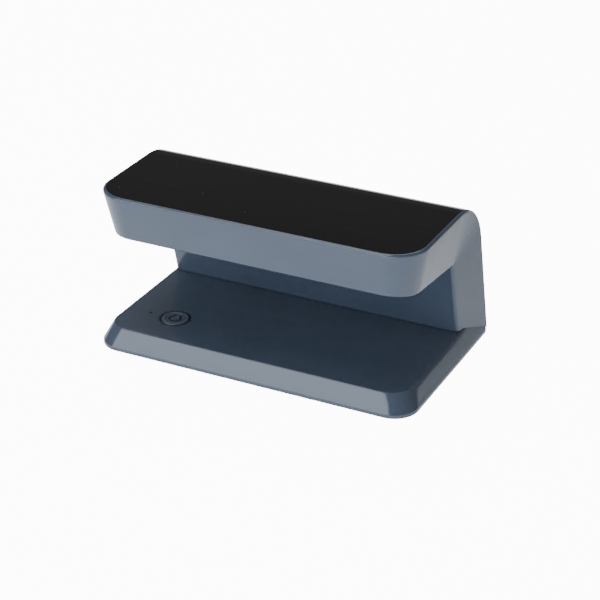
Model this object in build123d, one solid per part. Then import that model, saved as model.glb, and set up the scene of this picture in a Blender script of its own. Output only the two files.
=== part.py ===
from build123d import *
import os
from math import atan, cos, degrees, radians, sin

os.makedirs("parts", exist_ok=True)

# Overall size in mm. The origin is the middle of the footprint at floor level,
# +X runs along the length, the open side faces -Y and +Z is up.
LENGTH = 190.0
DEPTH = 115.0
HEIGHT = 93.8
FOOT_DROP = 1.8
FRONT_Y = -DEPTH / 2
BIG = 400.0
SEAM = 0.3
TOUCH = 0.05
NEAR = 0.01

# Base: a short upright skirt, then a bevel up to the flat top
SKIRT_TOP = 3.9
BASE_TOP = 13.9
BEVEL = 5.1
BASE_FRONT_R = 14.0
BASE_REAR_R = 4.0
BEVEL_R_LOSS = 0.25
BASE_SIDE_WALL = 2.4
BASE_TOP_WALL = 2.0
BASE_EDGE_R = 1.0
PLATE_T = 2.0
PLATE_GAP = 0.2
PLATE_TOP = FOOT_DROP + PLATE_T

# Outer skin of the overhang: flat top, rear curve, then a back that leans
DRAFT = 0.2
NOSE_DRAFT = 0.234
HALF_SKIN = 95.1
NOSE_Y = -54.9
THROAT_HALF = 88.7
DRAFT_DEG = degrees(atan(DRAFT))
LEAN_DEG = 14.6
LEAN_COS = cos(radians(LEAN_DEG))
LEAN_SIN = sin(radians(LEAN_DEG))
BACK_Y = 57.2
BACK_Z = 4.6
CURVE_R = 34.0
CURVE_Z = HEIGHT - CURVE_R
CURVE_Y = BACK_Y - (CURVE_Z - BACK_Z) * LEAN_SIN / LEAN_COS - CURVE_R / LEAN_COS
COLUMN_T = 28.7
COLUMN_TOP = (CURVE_Z - BACK_Z) * LEAN_COS + (BACK_Y - CURVE_Y) * LEAN_SIN
HEAD_CORNER_R = 20.0
CORNER_R_LOSS = 0.16
LIP_R = 1.4
CHIN_R = 2.2

# Underside of the head, sloping down to the column
UNDER_Y = -18.0
UNDER_Z = 63.24
UNDER_DEG = -7.24
FLOOR_T = 2.2

# Walls of the upper housing and the rebate for the panel and rear cover
SIDE_WALL = 3.8
REBATE_SIDE = 2.2
REBATE_DEPTH = 2.2
PANEL_SIDE = 2.5
PANEL_T = 2.0
PANEL_END = 58.0
COVER_TOP = 57.6
COVER_BOTTOM = 10.5
COLUMN_FLOOR_Z = 16.6

# Power button, its bezel and the switch below it
BUTTON_X = -59.0
BUTTON_Y = -29.0
BUTTON_R = 7.7
BUTTON_TOP = 14.2
BEZEL_R = 9.1
BEZEL_BORE_R = 8.0
BEZEL_SLEEVE_R = 8.5
BEZEL_TOP = 14.0
BEZEL_SEAT_Z = 13.0
BEZEL_BOTTOM = 11.3
FLANGE_R = 9.3
FLANGE_TOP = 11.0
FLANGE_T = 0.8
PLUNGER_R = 1.6
PLUNGER_TOP = 9.6

# Indicator light pipe
LENS_X = -74.7
LENS_Y = -29.1
LENS_R = 0.85

# Control board on the base plate
BOARD_X = -55.0
BOARD_Y = -24.0
BOARD_L = 58.0
BOARD_W = 32.0
BOARD_T = 1.6
BOARD_Z = 4.6
BOARD_TOP = BOARD_Z + BOARD_T
BOARD_HOLE_X = 26.0
BOARD_HOLE_Y = 13.0

# Lamp strip in the head, in the plane of the underside
LAMP_L = 150.0
LAMP_W = 18.0
LAMP_LIP = 2.0
WINDOW_T = 1.2
REFLECTOR_TOP = 9.0
LED_PITCH = 45.0
LED_R = 2.5
LED_FLANGE_R = 2.9
LAMP_BOARD_BOTTOM = 10.0
LAMP_BOARD_T = 1.2
LAMP_BOARD_TOP = LAMP_BOARD_BOTTOM + LAMP_BOARD_T
LAMP_BOARD_L = 168.0
LAMP_BOARD_W = 13.0
LAMP_SCREW_X = 80.5

# Plug and socket of the inner cables
SOCKET_W = 6.4
SOCKET_L = 4.6
SOCKET_H = 4.0
PLUG_W = 5.2
PLUG_H = 2.6
PLUG_IN = 3.6
PLUG_OUT = 2.0
CABLE_R = 0.9
CABLE_HOLE_R = 2.5
CABLE_BEND = 5.0
PLUG_END = SOCKET_L / 2 + PLUG_OUT
LAMP_CABLE_X = -8.0
POWER_CABLE_X = 16.0
LAMP_CABLE_Y = 36.4
POWER_CABLE_Y = 43.0
CABLE_HOLES = ((LAMP_CABLE_X, LAMP_CABLE_Y), (POWER_CABLE_X, POWER_CABLE_Y))
LAMP_PORT = (-31.0, -18.5)
POWER_PORT = (-31.0, -27.0)

# Power inlet in the rear cover, in the frame of the leaning back
INLET_X = 45.0
INLET_W = 8.94
INLET_H = 3.26
INLET_L = 7.3
INLET_WALL = 0.3
INLET_SETBACK = 0.4
SHELF_BOTTOM = 18.5
SHELF_T = 3.4
INLET_BOARD_T = 1.2
INLET_BOARD_L = 20.0
INLET_BOARD_D = 15.6
INLET_BOARD_TOP = SHELF_BOTTOM + SHELF_T + INLET_BOARD_T
INLET_PORT_DEPTH = 15.0
INLET_SCREW_X = 7.0

# Screws: shank radius, head radius and head height
M3 = (1.4, 2.6, 1.6)
M2 = (0.95, 1.8, 1.1)
THREAD_GAP = 0.05
HOLE_GAP = 0.1

# Feet
FOOT_X = 72.0
FOOT_Y = 40.0
FOOT_R = 7.0
FOOT_PEG_R = 2.0

under = Plane(Location((0, UNDER_Y, UNDER_Z), (UNDER_DEG, 0, 0)))
back = Plane(
    origin=(0, BACK_Y, BACK_Z),
    x_dir=(1, 0, 0),
    z_dir=(0, -LEAN_COS, -LEAN_SIN),
)


def corners(x, y):
    """Four places mirrored about both axes."""
    return [(-x, -y), (x, -y), (-x, y), (x, y)]


def disc(radius, z0, z1, x=0.0, y=0.0):
    """Upright cylinder between two heights."""
    return Pos(x, y, (z0 + z1) / 2) * Cylinder(radius, z1 - z0)


def block(x0, x1, y0, y1, z0, z1):
    """Box between two opposite corners."""
    middle = Pos((x0 + x1) / 2, (y0 + y1) / 2, (z0 + z1) / 2)
    return middle * Box(x1 - x0, y1 - y0, z1 - z0)


def save(node, shape):
    """Write one node as a STEP file."""
    export_step(shape, f"parts/{node}.step")


def base_outline(inset, z):
    """Plan of the base at one height, with its rounded corners."""
    plan = Rectangle(LENGTH - 2 * inset, DEPTH - 2 * inset)
    loss = BEVEL_R_LOSS * inset
    plan = fillet(plan.vertices().group_by(Axis.Y)[0], BASE_FRONT_R - loss)
    plan = fillet(plan.vertices().group_by(Axis.Y)[-1], BASE_REAR_R - loss)
    return Pos(0, 0, z) * plan


def bevel_inset(z):
    """How far the bevel has moved in at a height."""
    return BEVEL * (z - SKIRT_TOP) / (BASE_TOP - SKIRT_TOP)


def base_form(side, bottom, top):
    """Skirt and bevel of the base, pulled in by side on every flank."""
    skirt = extrude(base_outline(side, bottom), amount=SKIRT_TOP - bottom)
    lower = base_outline(side, SKIRT_TOP)
    upper = base_outline(side + bevel_inset(top), top)
    return skirt + loft([lower, upper], ruled=True)


def head_layer(outer, inner, side):
    """Layer of the head from above the skin down to a depth below it."""
    half = HALF_SKIN + DRAFT * outer - side
    front = NOSE_Y - DRAFT * outer + side
    plan = Pos(0, (front + DEPTH) / 2) * Rectangle(2 * half, DEPTH - front)
    radius = HEAD_CORNER_R + DRAFT * outer - side
    plan = fillet(plan.vertices().group_by(Axis.Y)[0], radius)
    top = HEIGHT + outer
    form = extrude(Pos(0, 0, top) * plan, amount=-(outer + inner), taper=DRAFT_DEG)
    return form & block(-BIG, BIG, -BIG, CURVE_Y, 0, BIG)


def curve_layer(outer, inner, side):
    """Layer over the rear curve, turned about the curve's axis."""
    half_out = HALF_SKIN + DRAFT * outer - side
    half_in = HALF_SKIN - DRAFT * inner - side
    profile = Polygon(
        (-half_out, CURVE_R + outer),
        (half_out, CURVE_R + outer),
        (half_in, CURVE_R - inner),
        (-half_in, CURVE_R - inner),
        align=None,
    )
    centre = Plane(origin=(0, CURVE_Y, CURVE_Z), x_dir=(1, 0, 0), z_dir=(0, -1, 0))
    axis = Axis((0, CURVE_Y, CURVE_Z), (-1, 0, 0))
    return revolve(centre * profile, axis, 90 - LEAN_DEG)


def back_section(climb):
    """Plane across the column at a distance up the back, its Y pointing out."""
    return Plane(
        origin=(0, BACK_Y - climb * LEAN_SIN, BACK_Z + climb * LEAN_COS),
        x_dir=(1, 0, 0),
        z_dir=(0, -LEAN_SIN, LEAN_COS),
    )


def column_layer(outer, inner, side, low, high):
    """Layer over the back between two distances up it."""
    half_out = HALF_SKIN + DRAFT * outer - side
    half_in = HALF_SKIN - DRAFT * inner - side
    profile = Polygon(
        (-half_out, outer),
        (-half_in, -inner),
        (half_in, -inner),
        (half_out, outer),
        align=None,
    )
    return extrude(back_section(low) * profile, amount=high - low)


def skin_form(outer, inner, side, low):
    """Layer that follows the top, the rear curve and the back."""
    form = head_layer(outer, inner, side) + curve_layer(outer, inner, side)
    return form + column_layer(outer, inner, side, low, COLUMN_TOP)


def above_underside(lift):
    """Everything over the sloping underside, raised by lift."""
    return under * block(-BIG, BIG, -BIG, BIG, lift, BIG)


def throat_corner(lift):
    """Inner corner where the underside meets the front of the column."""
    slope = sin(radians(-UNDER_DEG)) / cos(radians(UNDER_DEG))
    rise = UNDER_Z + slope * UNDER_Y + lift / cos(radians(UNDER_DEG))
    depth = COLUMN_T - lift
    y = BACK_Y * LEAN_COS - depth - LEAN_SIN * (rise - BACK_Z)
    y /= LEAN_COS - LEAN_SIN * slope
    return y, rise - slope * y


def throat_plane(lift, reach_y, reach_z, upward):
    """Plane through the throat corner and a line along X, normal set by upward."""
    corner_y, corner_z = throat_corner(lift)
    normal = Vector(0, -(reach_z - corner_z), reach_y - corner_y).normalized()
    return Plane(origin=(0, corner_y, corner_z), x_dir=(1, 0, 0), z_dir=normal * upward)


def head_block(outer, side, lift, shaped):
    """Head in front of the plane from the throat corner to the curve's start."""
    top = HEIGHT + outer
    low = 50.0
    rear = CURVE_Y + 25.0
    side_draft = (HALF_SKIN - THROAT_HALF) / (HEIGHT - throat_corner(0)[1])
    outlines = []
    for z in (low, top):
        half = HALF_SKIN - side_draft * (HEIGHT - z) - side
        front = NOSE_Y + NOSE_DRAFT * (HEIGHT - z) + side
        plan = Pos(0, (front + rear) / 2) * Rectangle(2 * half, rear - front)
        radius = HEAD_CORNER_R - CORNER_R_LOSS * (HEIGHT - z) - side
        plan = fillet(plan.vertices().group_by(Axis.Y)[0], radius)
        outlines.append(Pos(0, 0, z) * plan)
    form = loft(outlines, ruled=True) & above_underside(lift)
    if shaped:
        chin = form.faces().sort_by(Axis.Z)[0].edges()
        form = fillet(chin.filter_by(lambda e: e.center().Y < rear - 1), CHIN_R)
    limit = throat_plane(lift, CURVE_Y, top, 1)
    return form & limit * block(-BIG, BIG, -BIG, BIG, 0, BIG)


def column_block(outer, side, lift, shaped):
    """Column below the plane from the throat corner to the curve's end."""
    foot = -25.0
    crown = COLUMN_TOP + 10.0
    half_out = HALF_SKIN - side
    half_in = THROAT_HALF - side
    profile = Polygon(
        (-half_out, outer),
        (-half_in, lift - COLUMN_T),
        (half_in, lift - COLUMN_T),
        (half_out, outer),
        align=None,
    )
    if shaped:
        profile = fillet(profile.vertices().group_by(Axis.Y)[0], CHIN_R)
    form = loft([back_section(foot) * profile, back_section(crown) * profile], ruled=True)
    end_y = CURVE_Y + (CURVE_R + outer) * LEAN_COS
    end_z = CURVE_Z + (CURVE_R + outer) * LEAN_SIN
    limit = throat_plane(lift, end_y, end_z, -1)
    return form & limit * block(-BIG, BIG, -BIG, BIG, 0, BIG)


def curve_block(outer, side, lift):
    """Fan between head and column, its flanks running out to the throat corner."""
    corner_y, corner_z = throat_corner(lift)
    reach = CURVE_R + outer
    half = HALF_SKIN - side
    tip = THROAT_HALF - side
    middle_turn = radians((90 + LEAN_DEG) / 2)
    start = (CURVE_Y, CURVE_Z + reach)
    middle = (CURVE_Y + reach * cos(middle_turn), CURVE_Z + reach * sin(middle_turn))
    end = (CURVE_Y + reach * LEAN_COS, CURVE_Z + reach * LEAN_SIN)
    corner = (corner_y, corner_z)
    outline = Line(corner, start) + ThreePointArc(start, middle, end) + Line(end, corner)
    sector = make_face(Plane.YZ * outline)
    form = extrude(sector, amount=half, both=True)
    for way in (-1, 1):
        wide = Pos(way * half, 0, 0) * sector
        form -= loft([wide, Vertex(way * tip, corner_y, corner_z)], ruled=True)
    return form


def on_rim(edge):
    """Whether an edge runs along the border of the top, rear curve or back."""
    middle = edge.center()
    on_top = abs(middle.Z - HEIGHT) < NEAR
    reach = ((middle.Y - CURVE_Y) ** 2 + (middle.Z - CURVE_Z) ** 2) ** 0.5
    on_curve = abs(reach - CURVE_R) < LIP_R and middle.Y > CURVE_Y
    depth = (middle.Y - BACK_Y) * LEAN_COS + (middle.Z - BACK_Z) * LEAN_SIN
    on_back = abs(depth) < NEAR and middle.Z > 0
    outside = abs(middle.X) > THROAT_HALF or middle.Y < NOSE_Y + CHIN_R
    return outside and (on_top or on_curve or on_back)


def overhang(side, lift, shaped):
    """Head, rear curve and column in one solid.

    side pulls the flanks and nose in, lift pulls the underside and the front
    of the column in, and shaped gives the edges their rounding.
    """
    outer = 0.0 if shaped else 1.0
    form = head_block(outer, side, lift, shaped) + curve_block(outer, side, lift)
    form += column_block(outer, side, lift, shaped)
    if shaped:
        form = fillet(form.edges().filter_by(on_rim), LIP_R)
    return form


def screw(size, length, place):
    """Round-head screw, shank along +Z of place and head below it."""
    shank_r, head_r, head_h = size
    shank = disc(shank_r, 0, length)
    head = disc(head_r, -head_h, 0)
    head = fillet(head.edges().group_by(Axis.Z)[0], head_h * 0.4)
    slot = block(-head_r, head_r, -0.3, 0.3, -head_h - 1, -head_h * 0.55)
    slot = slot & disc(head_r * 0.6, -head_h - 1, 0)
    cross = slot + Rot(0, 0, 90) * slot
    return place * (shank + head - cross)


def screw_group(size, length, places):
    """Identical screws as separate solids of one node."""
    return Compound(children=[screw(size, length, place) for place in places])


def socket_at(place):
    """Board socket with its mouth towards +Y of place, standing on the board."""
    shell = block(-SOCKET_W / 2, SOCKET_W / 2, -SOCKET_L / 2, SOCKET_L / 2, 0, SOCKET_H)
    mouth_w = PLUG_W + 2 * TOUCH
    mouth_h = PLUG_H + 2 * TOUCH
    depth = PLUG_IN + TOUCH
    mouth = Pos(0, SOCKET_L / 2 - depth / 2, SOCKET_H / 2) * Box(mouth_w, depth, mouth_h)
    return place * (shell - mouth)


def plug_at(place):
    """Plug pushed into a socket, its cable side towards +Y of place."""
    length = PLUG_IN + PLUG_OUT
    body = Pos(0, SOCKET_L / 2 + PLUG_OUT - length / 2, SOCKET_H / 2) * Box(PLUG_W, length, PLUG_H)
    return place * body


def port_out(place, distance):
    """Point straight out of a plug, at a distance from the socket centre."""
    return (place * Pos(0, distance, SOCKET_H / 2)).position


def cable_along(points, radii):
    """Round cable that follows straight runs joined by arcs."""
    route = FilletPolyline(*points, radius=radii)
    start = Plane(origin=points[0], z_dir=points[1] - points[0])
    return sweep(start * Circle(CABLE_R), path=route)


def make_base_shell(plate_screws, column_screws):
    """Upper half of the base with its bosses and holes."""
    shell = base_form(0, FOOT_DROP, BASE_TOP)
    rim = shell.faces().sort_by(Axis.Z)[-1].edges()
    shell = fillet(rim, BASE_EDGE_R)
    ceiling = BASE_TOP - BASE_TOP_WALL
    hollow = base_form(BASE_SIDE_WALL, FOOT_DROP - 1, ceiling)
    for x, y in plate_screws:
        hollow -= disc(3.2, PLATE_TOP + TOUCH, BASE_TOP, x, y)
    shell -= hollow
    for x, y in plate_screws:
        shell -= disc(M3[0] + THREAD_GAP, 0, ceiling + 0.6, x, y)
    for x, y in column_screws:
        shell -= disc(M3[0] + HOLE_GAP, ceiling - 1, BASE_TOP + 1, x, y)
    shell -= disc(BEZEL_SLEEVE_R + TOUCH, 0, BASE_TOP + 1, BUTTON_X, BUTTON_Y)
    shell -= disc(BEZEL_R + TOUCH, BEZEL_SEAT_Z - TOUCH, BASE_TOP + 1, BUTTON_X, BUTTON_Y)
    shell -= disc(LENS_R + TOUCH, 0, BASE_TOP + 1, LENS_X, LENS_Y)
    for x, y in CABLE_HOLES:
        shell -= disc(CABLE_HOLE_R, ceiling - 1, BASE_TOP + 1, x, y)
    return shell


def make_base_plate(plate_screws, board_screws):
    """Flat plate that closes the base, with posts for the control board."""
    inset = BASE_SIDE_WALL + PLATE_GAP
    plate = extrude(base_outline(inset, FOOT_DROP), amount=PLATE_T)
    for x, y in board_screws:
        plate += disc(3.0, PLATE_TOP, BOARD_Z, x, y)
        plate -= disc(M2[0] + THREAD_GAP, FOOT_DROP + 0.6, BOARD_Z + 1, x, y)
    for x, y in plate_screws:
        plate -= disc(M3[0] + HOLE_GAP, 0, BASE_TOP, x, y)
        plate -= disc(M3[1] + 0.2, 0, FOOT_DROP + 0.9, x, y)
    for x, y in corners(FOOT_X, FOOT_Y):
        plate -= disc(FOOT_PEG_R + TOUCH, 0, BASE_TOP, x, y)
    return plate


def make_upper_housing(column_screws, cover_screws):
    """Head and column, a tray open at the top and the back."""
    housing = overhang(0, 0, True)
    hollow = overhang(SIDE_WALL, FLOOR_T, False)
    hollow = hollow & block(-BIG, BIG, -BIG, BIG, COLUMN_FLOOR_Z, BIG)
    for x, y in column_screws:
        hollow -= disc(4.0, 0, 24.0, x, y)
    for x, y in cover_screws:
        hollow -= back * block(x - 4, x + 4, y - 4, y + 4, REBATE_DEPTH, 15.0)
        far = 12.0 if x > 0 else -12.0
        hollow -= back * block(min(x, x + far), max(x, x + far), y - 2, y + 2, REBATE_DEPTH, 15.0)
    for x in (-LAMP_SCREW_X, LAMP_SCREW_X):
        hollow -= under * disc(3.5, 0, LAMP_BOARD_BOTTOM, x, 0)
    housing -= hollow
    housing -= skin_form(1.0, REBATE_DEPTH, REBATE_SIDE, COVER_BOTTOM - SEAM)
    housing -= base_form(-SEAM, 0, BASE_TOP + SEAM)
    housing = housing & block(-BIG, BIG, -BIG, BIG, SKIRT_TOP + SEAM, BIG)
    half_l = LAMP_L / 2
    half_w = LAMP_W / 2
    lip = LAMP_LIP
    housing -= under * block(-half_l, half_l, -half_w, half_w, -1, FLOOR_T + 1)
    housing -= under * block(-half_l - lip, half_l + lip, -half_w - lip, half_w + lip, 0.9, FLOOR_T + 1)
    for x in (-LAMP_SCREW_X, LAMP_SCREW_X):
        housing -= under * disc(M2[0] + THREAD_GAP, 4.0, LAMP_BOARD_BOTTOM + 1, x, 0)
    for x, y in column_screws:
        housing -= disc(M3[0] + THREAD_GAP, 0, 23.0, x, y)
    for x, y in cover_screws:
        housing -= back * disc(M3[0] + THREAD_GAP, 0, 13.0, x, y)
    for x, y in CABLE_HOLES:
        housing -= disc(CABLE_HOLE_R, BASE_TOP, COLUMN_FLOOR_Z + 1, x, y)
    return housing


def make_top_panel():
    """Glossy plate over the top and the rear curve."""
    return skin_form(0, PANEL_T, PANEL_SIDE, PANEL_END)


def make_rear_cover(cover_screws, inlet_screws):
    """Cover that closes the column's back and carries the power socket."""
    cover = column_layer(0, PANEL_T, PANEL_SIDE, COVER_BOTTOM, COVER_TOP)
    half = INLET_BOARD_L / 2
    shelf_top = SHELF_BOTTOM + SHELF_T
    cover += back * block(
        INLET_X - half, INLET_X + half, SHELF_BOTTOM, shelf_top, PANEL_T - 0.5, PANEL_T + INLET_BOARD_D
    )
    for x, y in cover_screws:
        cover -= back * disc(M3[0] + HOLE_GAP, -1, PANEL_T + 1, x, y)
        cover -= back * disc(M3[1] + 0.2, -1, 0.8, x, y)
    slot = SlotOverall(INLET_W + 0.4, INLET_H + 0.4)
    cover -= back * Pos(INLET_X, inlet_centre(), -1) * extrude(slot, amount=PANEL_T + 2)
    for place in inlet_screws:
        cover -= place * disc(M2[0] + THREAD_GAP, -1, INLET_BOARD_T + SHELF_T - 0.5)
    return cover


def inlet_centre():
    """Height of the power socket's middle up the back."""
    return INLET_BOARD_TOP + INLET_H / 2 + TOUCH


def make_bezel():
    """Dark ring that lines the button's hole."""
    ring = disc(BEZEL_R, BEZEL_SEAT_Z, BEZEL_TOP) + disc(BEZEL_SLEEVE_R, BEZEL_BOTTOM, BEZEL_SEAT_Z)
    ring = fillet(ring.edges().group_by(Axis.Z)[-1], 0.3)
    ring -= disc(BEZEL_BORE_R, 0, BASE_TOP + 2)
    return Pos(BUTTON_X, BUTTON_Y, 0) * ring


def make_button():
    """Round cap with a raised rim, an engraved power sign and a stem."""
    cap = disc(BUTTON_R, FLANGE_TOP, BUTTON_TOP)
    cap = fillet(cap.edges().group_by(Axis.Z)[-1], 0.5)
    cap += disc(FLANGE_R, FLANGE_TOP - FLANGE_T, FLANGE_TOP)
    cap += disc(2.0, PLUNGER_TOP, FLANGE_TOP)
    cap -= disc(5.9, BUTTON_TOP - 0.3, BUTTON_TOP + 1)
    floor = BUTTON_TOP - 0.3
    sign = disc(3.6, floor - 0.3, floor + 1) - disc(2.9, 0, BUTTON_TOP + 1)
    sign -= block(-1.1, 1.1, 0, 6, 0, BUTTON_TOP + 1)
    sign += block(-0.35, 0.35, 1.2, 4.2, floor - 0.3, floor + 1)
    return Pos(BUTTON_X, BUTTON_Y, 0) * (cap - sign)


def make_switch():
    """Tactile switch body and its plunger."""
    body = block(-3, 3, -3, 3, BOARD_TOP, BOARD_TOP + 2.5)
    body -= disc(PLUNGER_R + TOUCH, BOARD_TOP + 0.4, BOARD_TOP + 3)
    plunger = disc(PLUNGER_R, BOARD_TOP + 1.3, PLUNGER_TOP)
    place = Pos(BUTTON_X, BUTTON_Y, 0)
    return place * body, place * plunger


def make_lens():
    """Light pipe with a retaining flange below the base top."""
    ceiling = BASE_TOP - BASE_TOP_WALL
    lens = disc(LENS_R, BOARD_TOP + 1.2, BASE_TOP + 0.1)
    lens += disc(1.7, ceiling - 0.8, ceiling - TOUCH)
    return Pos(LENS_X, LENS_Y, 0) * lens


def make_control_board(board_screws):
    """Circuit board with its screw holes."""
    half_l = BOARD_L / 2
    half_w = BOARD_W / 2
    board = block(
        BOARD_X - half_l, BOARD_X + half_l, BOARD_Y - half_w, BOARD_Y + half_w, BOARD_Z, BOARD_TOP
    )
    for x, y in board_screws:
        board -= disc(M2[0] + HOLE_GAP, 0, BASE_TOP, x, y)
    return board


def make_chip():
    """Driver chip with four legs on each long side."""
    body = block(-2.5, 2.5, -1.95, 1.95, BOARD_TOP + 0.2, BOARD_TOP + 1.6)
    for index in range(4):
        x = -1.9 + 1.27 * index
        for side in (-1, 1):
            body += Pos(x, side * 2.4, BOARD_TOP + 0.45) * Box(0.4, 1.2, 0.9)
    return Pos(-44.0, -20.0, 0) * body


def make_resistors(places, height):
    """Small chip resistors as separate solids."""
    return Compound(children=[place * block(-1.0, 1.0, -0.6, 0.6, 0, height) for place in places])


def make_lamp_board():
    """Long narrow board that carries the lamps."""
    half_l = LAMP_BOARD_L / 2
    half_w = LAMP_BOARD_W / 2
    board = block(-half_l, half_l, -half_w, half_w, LAMP_BOARD_BOTTOM, LAMP_BOARD_TOP)
    for x in (-LAMP_SCREW_X, LAMP_SCREW_X):
        board -= disc(M2[0] + HOLE_GAP, 0, LAMP_BOARD_TOP + 1, x, 0)
    return under * board


def make_led():
    """Round ultraviolet lamp with a domed tip, facing down."""
    led = disc(LED_R, 5.5, REFLECTOR_TOP + 0.1)
    led += Pos(0, 0, 5.5) * Sphere(LED_R)
    return led + disc(LED_FLANGE_R, REFLECTOR_TOP + 0.05, LAMP_BOARD_BOTTOM)


def led_places():
    """Lamp positions along the head."""
    return [LED_PITCH * (index - 1.5) for index in range(4)]


def make_reflector():
    """Trough with sloping sides that opens towards the window."""
    foot = 0.9 + TOUCH + WINDOW_T + TOUCH
    half_l = LAMP_L / 2 + 1.6
    half_w = LAMP_W / 2 + 1.6
    body = block(-half_l, half_l, -half_w, half_w, foot, REFLECTOR_TOP)
    mouth = Pos(0, 0, foot) * Rectangle(LAMP_L, LAMP_W)
    ceiling = Pos(0, 0, REFLECTOR_TOP - 1) * Rectangle(LAMP_L - 6, LAMP_W - 8)
    body -= loft([mouth, ceiling], ruled=True)
    for x in led_places():
        body -= disc(LED_R + TOUCH, 0, REFLECTOR_TOP + 1, x, 0)
    return under * body


def make_window():
    """Clear plate in the underside."""
    half_l = LAMP_L / 2 + LAMP_LIP - 0.2
    half_w = LAMP_W / 2 + LAMP_LIP - 0.2
    return under * block(-half_l, half_l, -half_w, half_w, 0.9 + TOUCH, 0.9 + TOUCH + WINDOW_T)


def make_inlet():
    """Rounded metal shell of the power socket and the tongue inside it."""
    outline = SlotOverall(INLET_W, INLET_H)
    cavity = SlotOverall(INLET_W - 2 * INLET_WALL, INLET_H - 2 * INLET_WALL)
    shell = extrude(outline, amount=INLET_L)
    shell -= extrude(cavity, amount=INLET_L - 0.6)
    tongue = Pos(0, 0, INLET_L / 2 + 0.2) * Box(6.7, 0.7, INLET_L - 1.6)
    place = back * Pos(INLET_X, inlet_centre(), INLET_SETBACK)
    return place * shell, place * tongue


def make_inlet_board(inlet_screws):
    """Small board under the power socket, on the rear cover's shelf."""
    half = INLET_BOARD_L / 2
    low = SHELF_BOTTOM + SHELF_T
    board = back * block(
        INLET_X - half, INLET_X + half, low, low + INLET_BOARD_T, PANEL_T + 0.3, PANEL_T + INLET_BOARD_D
    )
    for place in inlet_screws:
        board -= place * disc(M2[0] + HOLE_GAP, -1, INLET_BOARD_T + 1)
    return board


def make_foot():
    """Rubber disc with a peg for the base plate."""
    foot = disc(FOOT_R, 0, FOOT_DROP)
    foot = fillet(foot.edges().group_by(Axis.Z)[0], 0.4)
    return foot + disc(FOOT_PEG_R, FOOT_DROP, PLATE_TOP)


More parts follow.
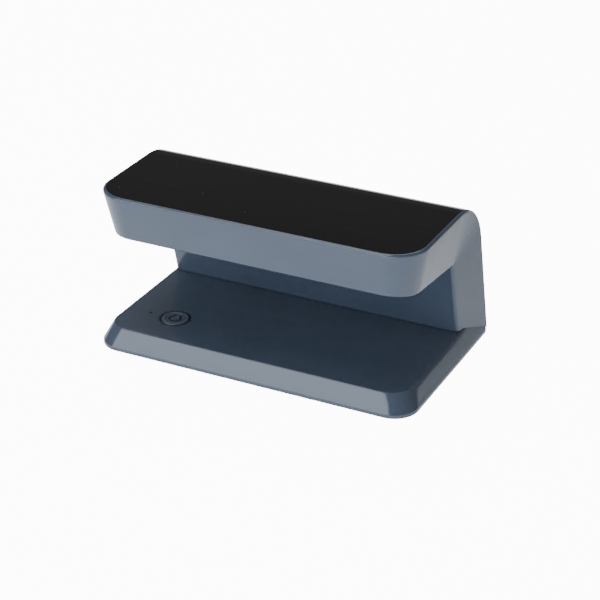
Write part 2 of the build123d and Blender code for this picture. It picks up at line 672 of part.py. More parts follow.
def main():
    """Build every node and write its file."""
    plate_screws = corners(84.0, 45.5)
    board_screws = [(BOARD_X + x, BOARD_Y + y) for x, y in corners(BOARD_HOLE_X, BOARD_HOLE_Y)]
    column_screws = [(x, 38.0) for x in (-72.0, -28.0, 28.0, 72.0)]
    cover_screws = [(x, y) for x in (-83.5, 83.5) for y in (20.0, 50.0)]
    inlet_screws = [
        back * Pos(INLET_X + x, INLET_BOARD_TOP, 13.5) * Rot(90, 0, 0)
        for x in (-INLET_SCREW_X, INLET_SCREW_X)
    ]

    save("base_shell", make_base_shell(plate_screws, column_screws))
    save("base_plate", make_base_plate(plate_screws, board_screws))
    save("upper_housing", make_upper_housing(column_screws, cover_screws))
    save("top_panel", make_top_panel())
    save("rear_cover", make_rear_cover(cover_screws, inlet_screws))
    save("button_bezel", make_bezel())
    save("power_button", make_button())
    switch_body, switch_plunger = make_switch()
    save("switch_body", switch_body)
    save("switch_plunger", switch_plunger)
    save("indicator_lens", make_lens())
    save("indicator_led", Pos(LENS_X, LENS_Y) * block(-1, 1, -0.6, 0.6, BOARD_TOP, BOARD_TOP + 0.8))
    save("control_board", make_control_board(board_screws))
    save("driver_chip", make_chip())
    save("inductor", disc(3.0, BOARD_TOP, BOARD_TOP + 3.0, -44.0, -29.5))
    for index, y in enumerate((-19.5, -31.5)):
        can = disc(2.5, BOARD_TOP, BOARD_TOP + 4.2, -37.0, y)
        save(f"capacitor_{index + 1}", fillet(can.edges().group_by(Axis.Z)[-1], 0.4))
    board_chips = [Pos(-52.0 + 3.2 * index, -13.5, BOARD_TOP) * Rot(0, 0, 90) for index in range(4)]
    save("board_resistors", make_resistors(board_chips, 0.5))

    save("lamp_board", make_lamp_board())
    for index, x in enumerate(led_places()):
        save(f"lamp_led_{index + 1}", under * Pos(x, 0, 0) * make_led())
    lamp_chips = [under * Pos(x + 8.0, 0, LAMP_BOARD_TOP) for x in led_places()]
    save("lamp_resistors", make_resistors(lamp_chips, 0.5))
    save("lamp_reflector", make_reflector())
    save("lamp_window", make_window())

    inlet_shell, inlet_tongue = make_inlet()
    save("inlet_shell", inlet_shell)
    save("inlet_tongue", inlet_tongue)
    save("inlet_board", make_inlet_board(inlet_screws))

    lamp_low = Pos(LAMP_PORT[0], LAMP_PORT[1], BOARD_TOP) * Rot(0, 0, -90)
    lamp_high = under * Pos(LAMP_CABLE_X, 0, LAMP_BOARD_TOP)
    power_low = Pos(POWER_PORT[0], POWER_PORT[1], BOARD_TOP) * Rot(0, 0, -90)
    inlet_edge = INLET_X - INLET_BOARD_L / 2 + 3.0
    port_turn = Rot(-90, 0, 0) * Rot(0, 0, 90)
    power_high = back * Pos(inlet_edge, INLET_BOARD_TOP, INLET_PORT_DEPTH - 7.0) * port_turn
    ports = {"lamp": (lamp_low, lamp_high), "power": (power_low, power_high)}
    for name, (low, high) in ports.items():
        save(f"{name}_socket_lower", socket_at(low))
        save(f"{name}_socket_upper", socket_at(high))
        save(f"{name}_plug_lower", plug_at(low))
        save(f"{name}_plug_upper", plug_at(high))

    lamp_start = port_out(lamp_low, PLUG_END)
    lamp_turn = Vector(LAMP_CABLE_X, lamp_start.Y, lamp_start.Z)
    lamp_points = [
        lamp_start,
        lamp_turn,
        Vector(LAMP_CABLE_X, LAMP_CABLE_Y, lamp_start.Z),
        Vector(LAMP_CABLE_X, LAMP_CABLE_Y - 2.4, 62.0),
        port_out(lamp_high, 20.0),
        port_out(lamp_high, PLUG_END),
    ]
    save("lamp_cable", cable_along(lamp_points, [CABLE_BEND, CABLE_BEND, 8.0, 8.0]))
    power_start = port_out(power_low, PLUG_END)
    power_end = port_out(power_high, PLUG_END)
    power_points = [
        power_start,
        Vector(POWER_CABLE_X, power_start.Y, power_start.Z),
        Vector(POWER_CABLE_X, power_end.Y, power_start.Z),
        Vector(POWER_CABLE_X, power_end.Y, power_end.Z),
        power_end,
    ]
    save("power_cable", cable_along(power_points, [CABLE_BEND, CABLE_BEND, CABLE_BEND]))

    plate_places = [Pos(x, y, FOOT_DROP + 0.9) for x, y in plate_screws]
    save("base_plate_screws", screw_group((M3[0], M3[1], 0.85), 8.0, plate_places))
    column_places = [Pos(x, y, BASE_TOP - BASE_TOP_WALL) for x, y in column_screws]
    save("column_screws", screw_group(M3, 11.0, column_places))
    cover_places = [back * Pos(x, y, 0.8) for x, y in cover_screws]
    save("rear_cover_screws", screw_group((M3[0], M3[1], 0.75), 11.0, cover_places))
    lamp_screws = (-LAMP_SCREW_X, LAMP_SCREW_X)
    lamp_places = [under * Pos(x, 0, LAMP_BOARD_TOP) * Rot(180, 0, 0) for x in lamp_screws]
    save("lamp_board_screws", screw_group(M2, 5.5, lamp_places))
    board_places = [Pos(x, y, BOARD_TOP) * Rot(180, 0, 0) for x, y in board_screws]
    save("control_board_screws", screw_group(M2, 3.6, board_places))
    save("inlet_board_screws", screw_group(M2, 4.0, inlet_screws))

    names = ("front_left", "front_right", "rear_left", "rear_right")
    for name, (x, y) in zip(names, corners(FOOT_X, FOOT_Y)):
        save(f"foot_{name}", Pos(x, y, 0) * make_foot())


main()
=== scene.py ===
"""Looks of a desktop counterfeit bill detector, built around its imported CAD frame."""

import logging
import math
from dataclasses import dataclass, field
from enum import Enum
from typing import Any

import bpy
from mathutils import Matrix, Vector

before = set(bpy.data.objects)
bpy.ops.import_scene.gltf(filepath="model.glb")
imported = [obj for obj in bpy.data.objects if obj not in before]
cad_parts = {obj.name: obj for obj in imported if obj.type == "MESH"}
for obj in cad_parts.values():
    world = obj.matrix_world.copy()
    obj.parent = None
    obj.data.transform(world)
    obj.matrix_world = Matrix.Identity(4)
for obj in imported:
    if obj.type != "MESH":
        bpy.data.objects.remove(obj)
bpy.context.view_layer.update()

log = logging.getLogger("bill_detector")
MILLI = 0.001
WELD_MM = 0.002
SHARP_FROM_DEG = 24.0
MIX_FACTOR, MIX_FIRST, MIX_SECOND, MIX_RESULT = 0, 6, 7, 2


class Maths(Enum):
    """Number operations that the shader expressions use."""

    ADD = "ADD"
    SUBTRACT = "SUBTRACT"
    MULTIPLY = "MULTIPLY"
    DIVIDE = "DIVIDE"
    POWER = "POWER"
    ABSOLUTE = "ABSOLUTE"
    LESS = "LESS_THAN"
    GREATER = "GREATER_THAN"
    FRACT = "FRACT"


class Flow:
    """A number that flows out of a shader node; arithmetic on it adds Math nodes."""

    def __init__(self, graph: "Graph", socket: bpy.types.NodeSocket) -> None:
        """Wrap a socket.

        Args:
            graph: the node graph that the socket belongs to.
            socket: an output that carries a single number.
        """
        self.graph = graph
        self.socket = socket

    def _join(self, how: Maths, first: Any, second: Any = 0.0, clamp: bool = False) -> "Flow":
        """Add one Math node.

        Args:
            how: the operation.
            first: left value or Flow.
            second: right value or Flow.
            clamp: whether the result is held between 0 and 1.

        Returns:
            The node's result.
        """
        settings = {"operation": how.value, "use_clamp": clamp}
        node = self.graph.add("ShaderNodeMath", settings, {0: first, 1: second})
        return Flow(self.graph, node.outputs[0])

    def __add__(self, other: Any) -> "Flow":
        """Sum."""
        return self._join(Maths.ADD, self, other)

    __radd__ = __add__

    def __sub__(self, other: Any) -> "Flow":
        """Difference."""
        return self._join(Maths.SUBTRACT, self, other)

    def __rsub__(self, other: Any) -> "Flow":
        """Difference, the other way round."""
        return self._join(Maths.SUBTRACT, other, self)

    def __mul__(self, other: Any) -> "Flow":
        """Product."""
        return self._join(Maths.MULTIPLY, self, other)

    __rmul__ = __mul__

    def __truediv__(self, other: Any) -> "Flow":
        """Quotient."""
        return self._join(Maths.DIVIDE, self, other)

    def __pow__(self, other: Any) -> "Flow":
        """Power."""
        return self._join(Maths.POWER, self, other)

    def __lt__(self, other: Any) -> "Flow":
        """1 where smaller, else 0."""
        return self._join(Maths.LESS, self, other)

    def __gt__(self, other: Any) -> "Flow":
        """1 where larger, else 0."""
        return self._join(Maths.GREATER, self, other)

    def __abs__(self) -> "Flow":
        """Size without sign."""
        return self._join(Maths.ABSOLUTE, self)

    def fract(self) -> "Flow":
        """Part after the decimal point."""
        return self._join(Maths.FRACT, self)

    def held(self) -> "Flow":
        """Value held between 0 and 1."""
        return self._join(Maths.ADD, self, 0.0, clamp=True)

    def ramp(self, low: float, high: float) -> "Flow":
        """Straight rise from 0 at low to 1 at high, held at both ends."""
        return ((self - low) / (high - low)).held()


class Graph:
    """A node tree under construction."""

    def __init__(self, tree: bpy.types.NodeTree) -> None:
        """Start from an empty tree.

        Args:
            tree: node tree of a material or world.
        """
        self.tree = tree
        tree.nodes.clear()

    def add(self, kind: str, settings: dict[str, Any], sockets: dict[Any, Any]) -> bpy.types.Node:
        """Add one node, its settings first and then its sockets.

        Args:
            kind: node type name.
            settings: attributes of the node.
            sockets: input name or index to a value, Flow or output socket.

        Returns:
            The new node.
        """
        node = self.tree.nodes.new(kind)
        for name, value in settings.items():
            setattr(node, name, value)
        for key, value in sockets.items():
            if isinstance(value, Flow):
                value = value.socket
            if isinstance(value, bpy.types.NodeSocket):
                self.tree.links.new(value, node.inputs[key])
            else:
                node.inputs[key].default_value = value
        return node

    def place(self, scale: tuple[float, float, float] = (1.0, 1.0, 1.0)) -> bpy.types.NodeSocket:
        """Object coordinates in millimetres, stretched by scale."""
        source = self.add("ShaderNodeTexCoord", {}, {})
        per_metre = tuple(1.0 / MILLI * s for s in scale)
        values = {"Vector": source.outputs["Object"], "Scale": per_metre}
        mapping = self.add("ShaderNodeMapping", {}, values)
        return mapping.outputs["Vector"]

    def axes(self) -> list[Flow]:
        """Object coordinates as three numbers, in millimetres."""
        split = self.add("ShaderNodeSeparateXYZ", {}, {0: self.place()})
        return [Flow(self, split.outputs[i]) for i in range(3)]

    def noise(self, size: float, detail: float = 3.0, rough: float = 0.5, stretch=(1.0, 1.0, 1.0)) -> Flow:
        """Cloudy noise whose lumps are size millimetres across."""
        values = {"Vector": self.place(stretch), "Scale": 1.0 / size, "Detail": detail, "Roughness": rough}
        node = self.add("ShaderNodeTexNoise", {}, values)
        return Flow(self, node.outputs[0])

    def cells(self, size: float, spread: float = 1.0) -> Flow:
        """Distance in a cell pattern whose cells are size millimetres across."""
        values = {"Vector": self.place(), "Scale": 1.0 / size, "Randomness": spread}
        node = self.add("ShaderNodeTexVoronoi", {"feature": "F1"}, values)
        return Flow(self, node.outputs["Distance"])

    def tint(self, amount: Flow, first: tuple, second: tuple) -> bpy.types.NodeSocket:
        """Colour that goes from first to second as amount goes from 0 to 1."""
        sockets = {MIX_FACTOR: amount, MIX_FIRST: (*first, 1.0), MIX_SECOND: (*second, 1.0)}
        node = self.add("ShaderNodeMix", {"data_type": "RGBA"}, sockets)
        return node.outputs[MIX_RESULT]

    def retint(self, amount: Flow, colour: bpy.types.NodeSocket, second: tuple) -> bpy.types.NodeSocket:
        """Colour taken towards second by amount."""
        sockets = {MIX_FACTOR: amount, MIX_FIRST: colour, MIX_SECOND: (*second, 1.0)}
        return self.add("ShaderNodeMix", {"data_type": "RGBA"}, sockets).outputs[MIX_RESULT]

    def bump(self, height: Flow, strength: float, depth_mm: float) -> bpy.types.NodeSocket:
        """Normal for a height pattern."""
        sockets = {"Height": height, "Strength": strength, "Distance": depth_mm * MILLI}
        return self.add("ShaderNodeBump", {}, sockets).outputs[0]


@dataclass(frozen=True)
class Finish:
    """A finish: its name, its base colour and how it is drawn."""

    name: str
    colour: tuple[float, float, float]

    def surface(self, graph: Graph) -> dict[str, Any]:
        """Values for the shader's sockets."""
        raise NotImplementedError

    def material(self) -> bpy.types.Material:
        """Build the material once and reuse it.

        Returns:
            The material of this finish.
        """
        made = bpy.data.materials.get(self.name)
        if made is not None:
            return made
        made = bpy.data.materials.new(self.name)
        made.use_nodes = True
        graph = Graph(made.node_tree)
        shader = graph.add("ShaderNodeBsdfPrincipled", {}, self.surface(graph))
        graph.add("ShaderNodeOutputMaterial", {}, {"Surface": shader.outputs[0]})
        return made

    def shade(self, factor: float) -> tuple[float, float, float]:
        """Base colour made lighter or darker."""
        return tuple(min(1.0, c * factor) for c in self.colour)


@dataclass(frozen=True)
class GlossMoulding(Finish):
    """Glossy injection-moulded plastic: flow clouds, orange peel, faint smears and dust."""

    roughness: float = 0.16
    cloud: float = 0.05
    dust: float = 0.5
    cloud_mm: float = 38.0
    flow_mm: float = 11.0
    peel_mm: float = 1.7
    grain_mm: float = 0.35
    smear_mm: float = 16.0
    dust_pitch_mm: float = 5.5
    dust_reach: float = 0.035
    dust_colour: tuple[float, float, float] = (0.55, 0.56, 0.57)
    coat: float = 0.5
    coat_roughness: float = 0.06
    ior: float = 1.5

    def surface(self, graph: Graph) -> dict[str, Any]:
        """Values for the shader's sockets."""
        clouds = graph.noise(self.cloud_mm, 2.0)
        flow = graph.noise(self.flow_mm, 3.0, 0.6, (0.35, 1.0, 1.0))
        peel = graph.noise(self.peel_mm, 2.0)
        grain = graph.noise(self.grain_mm, 1.0)
        smear = graph.noise(self.smear_mm, 4.0, 0.65, (1.0, 0.45, 1.0)).ramp(0.48, 0.75)
        specks = (graph.cells(self.dust_pitch_mm) < self.dust_reach) * graph.noise(9.0, 1.0).ramp(0.52, 0.6)
        mix = clouds * 0.6 + flow * 0.4
        colour = graph.tint(mix.ramp(0.35, 0.65), self.shade(1 - self.cloud), self.shade(1 + self.cloud))
        colour = graph.retint(specks * self.dust, colour, self.dust_colour)
        rough = self.roughness + smear * 0.07 + (grain - 0.5) * 0.04 + specks * 0.4
        normal = graph.bump(peel * 0.85 + grain * 0.15, 0.16, 0.05)
        return {
            "Base Color": colour,
            "Roughness": rough,
            "Normal": normal,
            "IOR": self.ior,
            "Coat Weight": self.coat,
            "Coat Roughness": self.coat_roughness,
        }


@dataclass(frozen=True)
class ButtonMoulding(GlossMoulding):
    """Glossy cap with painted light: a painted highlight on its rim, painted shade in its engraved ring and
    a painted highlight on its bar.
    """

    centre_mm: tuple[float, float] = (-59.0, -29.0)
    ring_mm: tuple[float, float] = (2.7, 3.8)
    rim_mm: float = 5.8
    gap_mm: float = 1.1
    bar_mm: tuple[float, float, float] = (0.5, 1.2, 4.2)
    # Strength and lightening of the painted highlight on the cap's rim.
    rim_highlight_strength: float = 0.7
    rim_highlight_factor: float = 1.6
    # Darkening of the painted shade in the engraved ring.
    groove_shade_factor: float = 0.12
    # Lightening of the painted highlight on the power sign's bar.
    bar_highlight_factor: float = 3.2

    def surface(self, graph: Graph) -> dict[str, Any]:
        """Values for the shader's sockets."""
        sockets = super().surface(graph)
        x, y, _ = graph.axes()
        right = x - self.centre_mm[0]
        back = y - self.centre_mm[1]
        reach = (right * right + back * back) ** 0.5
        gap = (abs(right) < self.gap_mm) * (back > 0)
        # Painted shade: the engraved ring of the power sign, open at the back, is darkened in the colour.
        painted_groove_shade = (reach > self.ring_mm[0]) * (reach < self.ring_mm[1]) * (1 - gap)
        # Painted highlight: a pale bar in the power sign, lightened in the colour.
        half, low, high = self.bar_mm
        painted_bar_highlight = (abs(right) < half) * (back > low) * (back < high)
        # Painted highlight: outside rim_mm the cap's colour is lightened to stand in for a glint on its
        # rim.
        painted_rim_highlight = (reach > self.rim_mm) * self.rim_highlight_strength
        colour = graph.retint(painted_rim_highlight, sockets["Base Color"], self.shade(self.rim_highlight_factor))
        colour = graph.retint(painted_groove_shade, colour, self.shade(self.groove_shade_factor))
        sockets["Base Color"] = graph.retint(painted_bar_highlight, colour, self.shade(self.bar_highlight_factor))
        return sockets


@dataclass(frozen=True)
class PianoGloss(Finish):
    """Polished black plate with hairline scratches, wiping marks and dust."""

    roughness: float = 0.07
    wipe_mm: float = 24.0
    hair_mm: float = 6.0
    hair_width: float = 0.004
    dust_pitch_mm: float = 7.0
    dust_reach: float = 0.03
    dust_colour: tuple[float, float, float] = (0.35, 0.35, 0.36)
    haze_mm: float = 60.0
    wave_mm: float = 45.0
    ior: float = 1.46

    def surface(self, graph: Graph) -> dict[str, Any]:
        """Values for the shader's sockets."""
        wipe = graph.noise(self.wipe_mm, 4.0, 0.6, (0.3, 1.0, 1.0)).ramp(0.5, 0.78)
        strands = abs(graph.noise(self.hair_mm, 2.0, 0.4, (0.05, 1.6, 1.0)) - 0.5)
        hair = (strands < self.hair_width) * graph.noise(14.0, 1.0)
        drifts = graph.noise(12.0, 1.0).ramp(0.5, 0.58)
        specks = (graph.cells(self.dust_pitch_mm) < self.dust_reach) * drifts
        haze = graph.noise(self.haze_mm, 2.0)
        colour = graph.tint(haze.ramp(0.3, 0.7), self.shade(0.8), self.shade(1.25))
        colour = graph.retint(specks * 0.6 + hair * 0.05, colour, self.dust_colour)
        rough = self.roughness + wipe * 0.05 + specks * 0.4 + hair * 0.06
        waves = graph.noise(self.wave_mm, 1.0)
        normal = graph.bump(waves + graph.noise(2.2, 1.0) * 0.05, 0.25, 0.06)
        return {"Base Color": colour, "Roughness": rough, "Normal": normal, "IOR": self.ior}


@dataclass(frozen=True)
class SatinMoulding(Finish):
    """Plastic with a fine spark-eroded grain, rubbed a little smoother in places."""

    roughness: float = 0.5
    grain_mm: float = 0.3
    depth_mm: float = 0.05
    pit_ratio: float = 2.2
    rub_mm: float = 22.0
    tone_mm: float = 30.0
    relief: float = 0.35

    def surface(self, graph: Graph) -> dict[str, Any]:
        """Values for the shader's sockets."""
        grain = graph.noise(self.grain_mm, 3.0, 0.6)
        pits = graph.cells(self.grain_mm * self.pit_ratio).ramp(0.0, 0.6)
        rub = graph.noise(self.rub_mm, 3.0).ramp(0.5, 0.8)
        tone = grain * 0.5 + graph.noise(self.tone_mm, 2.0) * 0.5
        colour = graph.tint(tone.ramp(0.35, 0.65), self.shade(0.85), self.shade(1.15))
        rough = self.roughness - rub * 0.1 + (grain - 0.5) * 0.1
        return {
            "Base Color": colour,
            "Roughness": rough,
            "Normal": graph.bump(grain * 0.6 + pits * 0.4, self.relief, self.depth_mm),
        }


@dataclass(frozen=True)
class Rubber(Finish):
    """Moulded rubber: dull, dusty in its pores."""

    roughness: float = 0.72
    pore_mm: float = 0.6
    dust_mm: float = 3.0
    dust_colour: tuple[float, float, float] = (0.09, 0.088, 0.084)
    relief: float = 0.4
    depth_mm: float = 0.06

    def surface(self, graph: Graph) -> dict[str, Any]:
        """Values for the shader's sockets."""
        pores = graph.cells(self.pore_mm).ramp(0.0, 0.5)
        dust = graph.noise(self.dust_mm, 4.0, 0.7).ramp(0.5, 0.75)
        colour = graph.tint(dust * 0.5, self.shade(1.0), self.dust_colour)
        rough = self.roughness + dust * 0.15 - pores * 0.05
        normal = graph.bump(pores, self.relief, self.depth_mm)
        return {"Base Color": colour, "Roughness": rough, "Normal": normal}


@dataclass(frozen=True)
class PlatedSteel(Finish):
    """Zinc-plated or stamped steel with fine drawing lines and dull patches."""

    roughness: float = 0.28
    line_mm: float = 0.25
    patch_mm: float = 2.4
    relief: float = 0.25
    depth_mm: float = 0.02

    def surface(self, graph: Graph) -> dict[str, Any]:
        """Values for the shader's sockets."""
        lines = graph.noise(self.line_mm, 2.0, 0.5, (1.0, 0.08, 1.0))
        patches = graph.noise(self.patch_mm, 4.0, 0.65)
        colour = graph.tint(patches.ramp(0.35, 0.7), self.shade(0.82), self.shade(1.08))
        rough = self.roughness + patches * 0.14 + (lines - 0.5) * 0.12
        return {
            "Base Color": colour,
            "Metallic": 1.0,
            "Roughness": rough,
            "Normal": graph.bump(lines, self.relief, self.depth_mm),
        }


@dataclass(frozen=True)
class CircuitBoard(Finish):
    """Solder resist over copper tracks, with tinned vias."""

    roughness: float = 0.34
    pitch_mm: float = 2.54
    lane_half: float = 0.16
    cross_half: float = 0.14
    wander_mm: float = 9.0
    field_mm: float = 13.0
    via_pitch_mm: float = 3.6
    via_reach: float = 0.1
    via_colour: tuple[float, float, float] = (0.62, 0.6, 0.55)
    weave_mm: float = 0.5

    def surface(self, graph: Graph) -> dict[str, Any]:
        """Values for the shader's sockets."""
        x, y, _ = graph.axes()
        wander = graph.noise(self.wander_mm, 1.0)
        lane = abs((x / self.pitch_mm + wander * 1.2).fract() - 0.5) < self.lane_half
        cross = abs((y / self.pitch_mm + wander).fract() - 0.5) < self.cross_half
        field_mask = graph.noise(self.field_mm, 0.0).ramp(0.48, 0.5)
        copper = lane * field_mask + cross * (1 - field_mask)
        vias = graph.cells(self.via_pitch_mm, spread=0.7) < self.via_reach
        weave = graph.noise(self.weave_mm, 2.0)
        colour = graph.tint(copper.held(), self.shade(0.75), self.shade(1.45))
        colour = graph.retint(vias, colour, self.via_colour)
        rough = self.roughness + weave * 0.12 - vias * 0.1
        return {
            "Base Color": colour,
            "Roughness": rough,
            "Metallic": vias * 0.8,
            "Normal": graph.bump(copper * 0.7 + weave * 0.1 + vias, 0.4, 0.04),
        }


@dataclass(frozen=True)
class ClearPart(Finish):
    """Clear moulding: window, light pipe or lamp body, with faint haze and smears."""

    transmission: float = 1.0
    roughness: float = 0.04
    glow: float = 0.0
    ior: float = 1.5
    smear_mm: float = 12.0
    haze_mm: float = 20.0
    ripple_mm: float = 6.0

    def surface(self, graph: Graph) -> dict[str, Any]:
        """Values for the shader's sockets."""
        smear = graph.noise(self.smear_mm, 4.0, 0.6, (0.4, 1.0, 1.0)).ramp(0.5, 0.78)
        haze = graph.noise(self.haze_mm, 2.0).ramp(0.3, 0.7)
        colour = graph.tint(haze, self.shade(0.94), self.shade(1.0))
        sockets = {
            "Base Color": colour,
            "Roughness": self.roughness + smear * 0.06,
            "Normal": graph.bump(graph.noise(self.ripple_mm, 1.0), 0.1, 0.03),
            "Transmission Weight": self.transmission,
            "IOR": self.ior,
        }
        if self.glow:
            sockets["Emission Color"] = graph.tint(smear, self.shade(1.0), self.shade(0.8))
            sockets["Emission Strength"] = self.glow
        return sockets


@dataclass(frozen=True)
class Palette:
    """Every finish of the object."""

    slate: Finish = GlossMoulding("slate_gloss_plastic", (0.062, 0.080, 0.114), dust=0.2)
    button: Finish = ButtonMoulding("slate_button_plastic", (0.066, 0.082, 0.110), 0.22, 0.04, 0.2)
    panel: Finish = PianoGloss("black_gloss_panel", (0.0035, 0.0035, 0.0038))
    bezel: Finish = SatinMoulding("dark_bezel_plastic", (0.012, 0.016, 0.022), 0.3, 0.25, 0.02)
    plate: Finish = SatinMoulding("black_base_plastic", (0.018, 0.019, 0.021), 0.55, 0.4, 0.06)
    black: Finish = SatinMoulding("black_component_plastic", (0.012, 0.012, 0.013), 0.45, 0.2, 0.03)
    white: Finish = SatinMoulding("white_satin_plastic", (0.74, 0.73, 0.69), 0.4, 0.3, 0.03)
    window: Finish = ClearPart("clear_window", (0.93, 0.95, 0.97))
    lens: Finish = ClearPart("light_pipe", (0.020, 0.022, 0.026), 0.15, 0.25)
    lamp: Finish = ClearPart("lamp_epoxy", (0.78, 0.72, 0.96), 0.7, 0.05, 0.35)
    board: Finish = CircuitBoard("green_circuit_board", (0.012, 0.085, 0.035))
    steel: Finish = PlatedSteel("plated_steel", (0.62, 0.62, 0.63))
    can: Finish = PlatedSteel("drawn_can", (0.72, 0.73, 0.75), 0.22)
    chip: Finish = SatinMoulding("resistor_ceramic", (0.02, 0.02, 0.024), 0.3, 0.15, 0.02)
    cable: Finish = SatinMoulding("cable_jacket", (0.022, 0.022, 0.024), 0.42, 0.35, 0.03)
    rubber: Finish = Rubber("foot_rubber", (0.014, 0.014, 0.015))


FINISHES = Palette()


def shading_group() -> bpy.types.NodeTree:
    """Geometry nodes that join loose triangles and smooth all but the sharp edges.

    Returns:
        The node group, made once.
    """
    made = bpy.data.node_groups.get("smooth_to_edges")
    if made is not None:
        return made
    group = bpy.data.node_groups.new("smooth_to_edges", "GeometryNodeTree")
    for way in ("INPUT", "OUTPUT"):
        group.interface.new_socket("Geometry", in_out=way, socket_type="NodeSocketGeometry")
    graph = Graph(group)
    source = graph.add("NodeGroupInput", {}, {})
    weld = graph.add(
        "GeometryNodeMergeByDistance", {}, {"Geometry": source.outputs[0], "Distance": WELD_MM * MILLI}
    )
    faces = graph.add(
        "GeometryNodeSetShadeSmooth",
        {"domain": "FACE"},
        {"Geometry": weld.outputs[0], "Shade Smooth": True},
    )
    angle = graph.add("GeometryNodeInputMeshEdgeAngle", {}, {})
    sharp_from = math.radians(SHARP_FROM_DEG)
    compare = graph.add(
        "FunctionNodeCompare",
        {"data_type": "FLOAT", "operation": "LESS_EQUAL"},
        {0: angle.outputs["Unsigned Angle"], 1: sharp_from},
    )
    edges = graph.add(
        "GeometryNodeSetShadeSmooth",
        {"domain": "EDGE"},
        {"Geometry": faces.outputs[0], "Shade Smooth": compare.outputs[0]},
    )
    graph.add("NodeGroupOutput", {}, {0: edges.outputs[0]})
    return group


@dataclass
class CadDressing:
    """Puts finishes and smooth shading on carried-over CAD nodes."""

    finishes: dict[str, Finish] = field(default_factory=dict)

    def dress(self) -> None:
        """Give every listed node its material and its shading modifier."""
        for node, finish in self.finishes.items():
            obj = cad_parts[node]
            obj.data.materials.clear()
            obj.data.materials.append(finish.material())
            modifier = obj.modifiers.new("smooth_to_edges", "NODES")
            modifier.node_group = shading_group()
            log.info("dressed %s in %s", node, finish.name)


def node_finishes() -> dict[str, Finish]:
    """Which finish each CAD node wears.

    Returns:
        Node name to finish, one entry for every node of the frame.
    """
    p = FINISHES
    worn = {
        "base_shell": p.slate,
        "upper_housing": p.slate,
        "rear_cover": p.slate,
        "power_button": p.button,
        "top_panel": p.panel,
        "button_bezel": p.bezel,
        "base_plate": p.plate,
        "indicator_lens": p.lens,
        "lamp_window": p.window,
        "lamp_reflector": p.white,
        "indicator_led": p.lamp,
        "inlet_shell": p.steel,
        "inlet_tongue": p.black,
        "switch_body": p.black,
        "switch_plunger": p.white,
        "driver_chip": p.black,
        "inductor": p.black,
    }
    families = {
        "foot_": p.rubber,
        "lamp_led_": p.lamp,
        "capacitor_": p.can,
    }
    endings = {
        "_screws": p.steel,
        "_board": p.board,
        "_resistors": p.chip,
        "_cable": p.cable,
        "_socket_lower": p.white,
        "_socket_upper": p.white,
        "_plug_lower": p.white,
        "_plug_upper": p.white,
    }
    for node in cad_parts:
        for start, finish in families.items():
            if node.startswith(start):
                worn[node] = finish
        for end, finish in endings.items():
            if node.endswith(end):
                worn[node] = finish
    return worn


@dataclass(frozen=True)
class Softbox:
    """One rectangular studio light: place and size in metres, power in watts."""

    name: str
    place: tuple[float, float, float]
    size: tuple[float, float]
    watts: float
    colour: tuple[float, float, float] = (1.0, 1.0, 1.0)


SOFTBOXES = (
    Softbox("front_light", (-0.9, -2.0, 1.2), (2.4, 1.3), 36.0, (0.86, 0.93, 1.0)),
    Softbox("top_light", (-0.4, -0.2, 1.9), (1.2, 0.8), 12.0),
    Softbox("rim_light", (-0.5, 1.2, 1.7), (1.6, 0.25), 7.0),
    Softbox("fill_light", (0.5, -2.4, 0.4), (1.8, 0.5), 22.0, (0.8, 0.9, 1.0)),
)


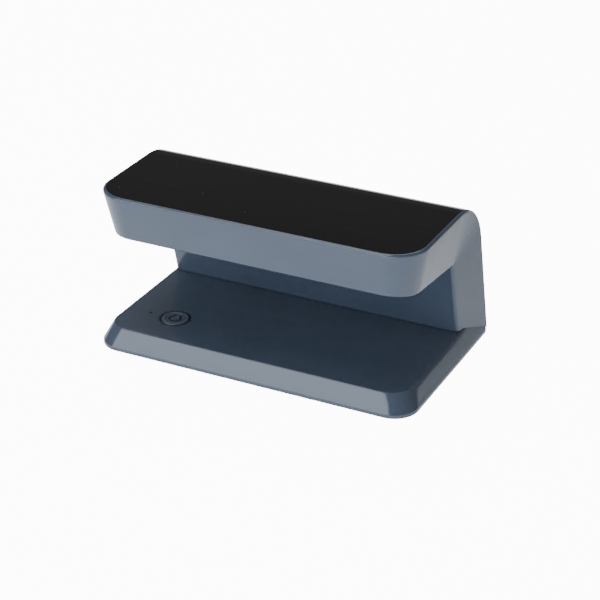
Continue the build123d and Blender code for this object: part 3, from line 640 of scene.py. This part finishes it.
@dataclass
class Studio:
    """Pale floor, soft lights and the camera."""

    lens_mm: float = 109.28
    sensor_mm: float = 36.0
    clip_start: float = 0.01
    eye: Vector = field(default_factory=lambda: Vector((0.40304, -0.80492, 0.49053)))
    aim: Vector = field(default_factory=lambda: Vector((0.01739, -0.02599, 0.04152)))
    floor_size: float = 12.0
    glow_fade_mm: tuple[float, float] = (-60.0, 180.0)
    glow_side_mm: tuple[float, float] = (20.0, 110.0)
    glow_near: tuple[float, float, float] = (0.62, 0.69, 0.78)
    glow_far: tuple[float, float, float] = (0.10, 0.115, 0.135)
    paper_dark: tuple[float, float, float] = (0.86, 0.86, 0.87)
    paper_light: tuple[float, float, float] = (0.9, 0.9, 0.9)
    paper_cloud_mm: float = 400.0
    background_strength: float = 12.0
    sky_strength: float = 0.15
    horizon_loss: float = 0.05
    horizon_band: tuple[float, float] = (0.02, 0.3)

    def camera(self) -> None:
        """Add the camera and make it the scene's own."""
        data = bpy.data.cameras.new("studio_camera")
        data.lens = self.lens_mm
        data.sensor_width = self.sensor_mm
        data.clip_start = self.clip_start
        camera = bpy.data.objects.new("studio_camera", data)
        camera.location = self.eye
        camera.rotation_euler = (self.aim - self.eye).to_track_quat("-Z", "Y").to_euler()
        bpy.context.scene.collection.objects.link(camera)
        bpy.context.scene.camera = camera

    def softbox(self, box: Softbox) -> None:
        """Add one rectangular light that faces the object."""
        data = bpy.data.lights.new(box.name, "AREA")
        data.shape = "RECTANGLE"
        data.size, data.size_y = box.size
        data.energy = box.watts
        data.color = box.colour
        light = bpy.data.objects.new(box.name, data)
        light.location = box.place
        light.rotation_euler = (self.aim - Vector(box.place)).to_track_quat("-Z", "Y").to_euler()
        bpy.context.scene.collection.objects.link(light)

    def floor(self) -> None:
        """Add the pale floor: white to the camera, a fading glow to everything else."""
        bpy.ops.object.select_all(action="DESELECT")
        bpy.ops.mesh.primitive_plane_add(size=self.floor_size, location=(0, 0, 0))
        floor = bpy.context.object
        floor.name = "floor"
        made = bpy.data.materials.new("pale_floor")
        made.use_nodes = True
        graph = Graph(made.node_tree)
        clouds = graph.noise(self.paper_cloud_mm, 2.0)
        tone = graph.tint(clouds, self.paper_dark, self.paper_light)
        paper = graph.add("ShaderNodeBsdfDiffuse", {}, {"Color": tone})
        backdrop = {"Color": (1, 1, 1, 1), "Strength": self.background_strength}
        lit = graph.add("ShaderNodeEmission", {}, backdrop)
        both = graph.add("ShaderNodeAddShader", {}, {0: paper.outputs[0], 1: lit.outputs[0]})
        path = graph.add("ShaderNodeLightPath", {}, {})
        along, depth, _ = graph.axes()
        dim = depth.ramp(*self.glow_fade_mm) * along.ramp(*self.glow_side_mm)
        fade = graph.tint(dim, self.glow_near, self.glow_far)
        glow = graph.add("ShaderNodeEmission", {}, {"Color": fade, "Strength": 1.0})
        bounced = graph.add("ShaderNodeAddShader", {}, {0: paper.outputs[0], 1: glow.outputs[0]})
        seen = {0: path.outputs["Is Camera Ray"], 1: bounced.outputs[0], 2: both.outputs[0]}
        mix = graph.add("ShaderNodeMixShader", {}, seen)
        graph.add("ShaderNodeOutputMaterial", {}, {"Surface": mix.outputs[0]})
        floor.data.materials.append(made)

    def world(self) -> None:
        """Fill the surroundings with even light, a little dimmer at the horizon."""
        world = bpy.data.worlds.new("studio_world")
        world.use_nodes = True
        graph = Graph(world.node_tree)
        source = graph.add("ShaderNodeTexCoord", {}, {})
        split = graph.add("ShaderNodeSeparateXYZ", {}, {0: source.outputs["Generated"]})
        rise = Flow(graph, split.outputs[2])
        low = 1 - rise.ramp(*self.horizon_band)
        strength = self.sky_strength - low * self.horizon_loss
        back = graph.add("ShaderNodeBackground", {}, {"Color": (1, 1, 1, 1), "Strength": strength})
        graph.add("ShaderNodeOutputWorld", {}, {"Surface": back.outputs[0]})
        bpy.context.scene.world = world

    def build(self) -> None:
        """Set up the whole studio."""
        self.camera()
        self.floor()
        self.world()
        for box in SOFTBOXES:
            self.softbox(box)
        log.info("studio ready")


def main() -> None:
    """Build the looks and the studio."""
    logging.basicConfig(level=logging.INFO, format="%(message)s")
    CadDressing(node_finishes()).dress()
    Studio().build()


if __name__ == "__main__":
    main()
